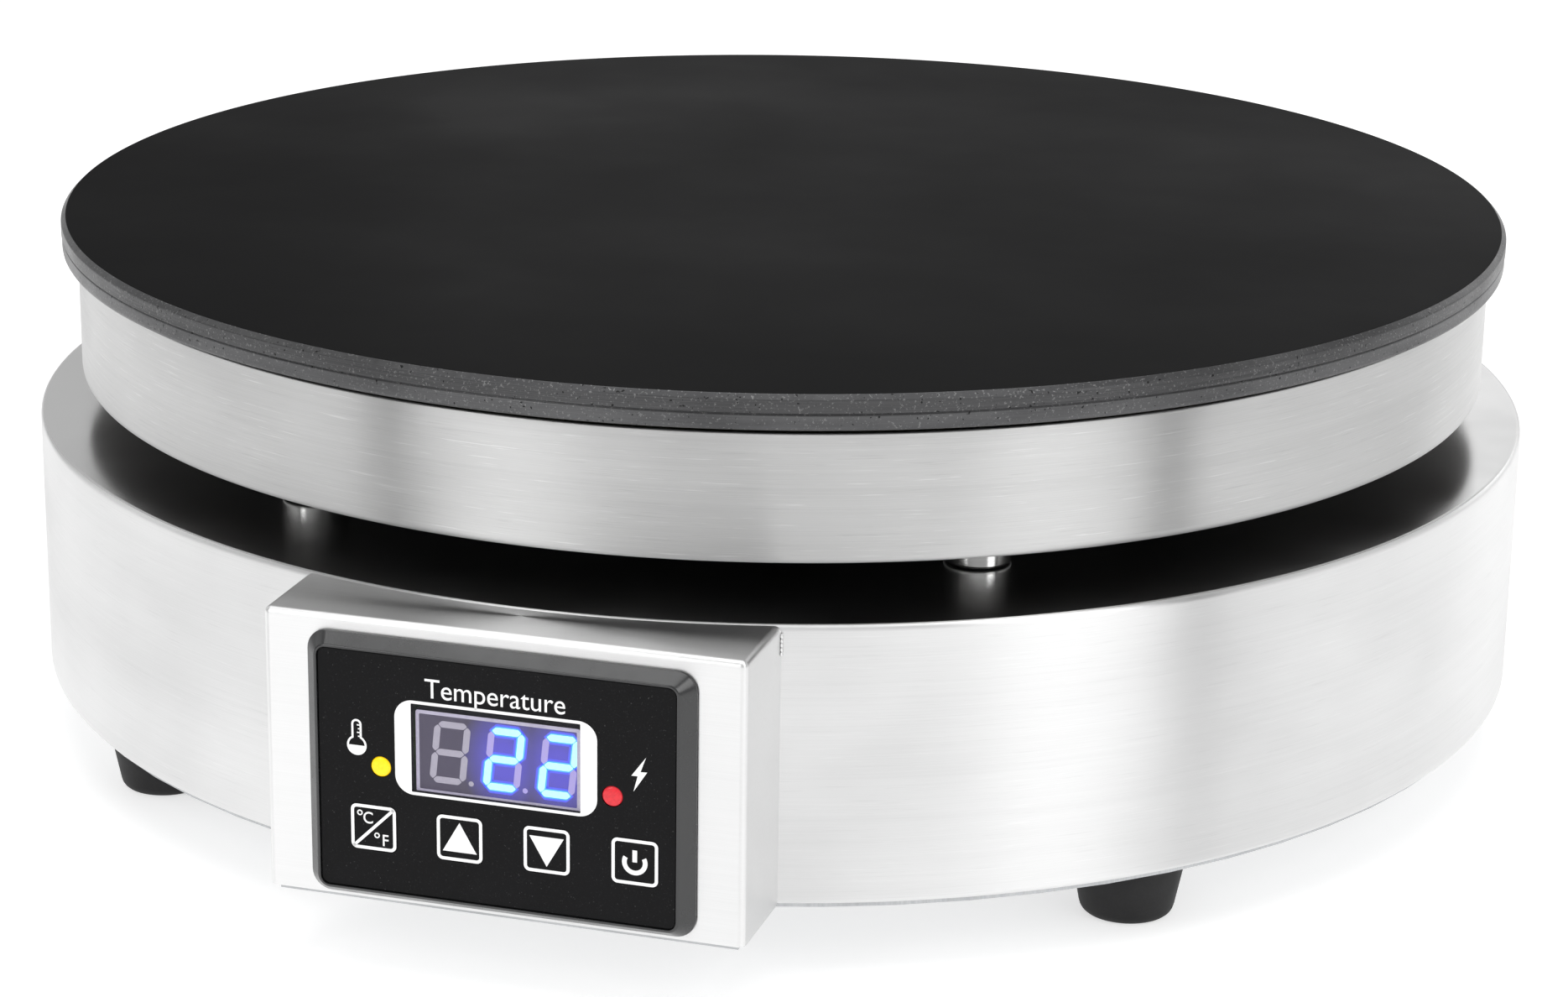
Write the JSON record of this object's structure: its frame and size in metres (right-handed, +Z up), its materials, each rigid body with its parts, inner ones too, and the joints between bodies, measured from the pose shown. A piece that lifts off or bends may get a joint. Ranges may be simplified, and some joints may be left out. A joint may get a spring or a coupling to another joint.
{
  "type": "electric griddle",
  "caption": "Round cast-iron griddle plate on a shallow steel drum, standing on posts over a round base with a boxed digital control panel.",
  "frame": {"origin": "on the round plate's axis, level with the soles of the feet", "axes": "+Z up; -Y out of the control panel; +X to the right as the panel is read"},
  "size_m": [0.415, 0.4604, 0.1437],
  "materials": {
    "cast_iron": "fine-ground, seasoned black, faint speckle",
    "drum_steel": "stainless, brushed round the drum",
    "base_steel": "stainless, brushed round the base and across the box",
    "post_steel": "turned and polished stainless",
    "plain_steel": "zinc-plated steel",
    "heater_sheath": "heat-tinted sheath",
    "insulation": "matt mineral fibre",
    "phenolic": "matt moulding",
    "relay_case": "satin moulding",
    "bezel_plastic": "fine-grained dark grey moulding",
    "panel_film": "black film with a fine speckle",
    "key_film": "black film, white outline printed round each key",
    "window_tint": "smoked clear window",
    "display_case": "black moulding",
    "yellow_lamp": "translucent lens",
    "red_lamp": "translucent lens",
    "board": "solder-masked board",
    "gland_nylon": "black nylon",
    "rubber": "matt black rubber"
  },
  "bodies": {
    "housing": {"cooking_plate": "cast_iron", "heating_element": "heater_sheath", "element_clamp": "plain_steel", "clamp_bolt": "plain_steel", "insulation_pad": "insulation", "temperature_probe": "plain_steel", "thermal_cutout": "phenolic", "drum_shell": "drum_steel", "wire_conduit": "plain_steel", "base_shell": "base_steel", "control_box": "base_steel", "bottom_cover": "plain_steel", "standoff_post_1": "post_steel", "plate_stud_1": "plain_steel", "stud_nut_1": "plain_steel", "spacer_sleeve_1": "plain_steel", "standoff_post_2": "post_steel", "plate_stud_2": "plain_steel", "stud_nut_2": "plain_steel", "spacer_sleeve_2": "plain_steel", "standoff_post_3": "post_steel", "plate_stud_3": "plain_steel", "stud_nut_3": "plain_steel", "spacer_sleeve_3": "plain_steel", "standoff_post_4": "post_steel", "plate_stud_4": "plain_steel", "stud_nut_4": "plain_steel", "spacer_sleeve_4": "plain_steel", "foot_1": "rubber", "foot_screw_1": "plain_steel", "foot_2": "rubber", "foot_screw_2": "plain_steel", "foot_3": "rubber", "foot_screw_3": "plain_steel", "foot_4": "rubber", "foot_screw_4": "plain_steel", "panel_bezel": "bezel_plastic", "panel_overlay": "panel_film", "display_window": "window_tint", "display_module": "display_case", "control_board": "board", "heat_lamp": "yellow_lamp", "power_lamp": "red_lamp", "key_switch_1": "display_case", "key_switch_2": "display_case", "key_switch_3": "display_case", "key_switch_4": "display_case", "power_relay": "relay_case", "terminal_block": "phenolic", "gland_body": "gland_nylon", "gland_cap": "gland_nylon", "gland_locknut": "gland_nylon"},
    "key_unit": {"key_unit": "key_film"},
    "key_up": {"key_up": "key_film"},
    "key_down": {"key_down": "key_film"},
    "key_power": {"key_power": "key_film"}
  },
  "joints": [
    {"name": "key_unit_press", "type": "slide", "parent": "housing", "child": "key_unit", "axis": [0, 1, 0], "range_m": [0, 0.0005], "stiffness_N_per_m": 800},
    {"name": "key_up_press", "type": "slide", "parent": "housing", "child": "key_up", "axis": [0, 1, 0], "range_m": [0, 0.0005], "stiffness_N_per_m": 800},
    {"name": "key_down_press", "type": "slide", "parent": "housing", "child": "key_down", "axis": [0, 1, 0], "range_m": [0, 0.0005], "stiffness_N_per_m": 800},
    {"name": "key_power_press", "type": "slide", "parent": "housing", "child": "key_power", "axis": [0, 1, 0], "range_m": [0, 0.0005], "stiffness_N_per_m": 800}
  ]
}
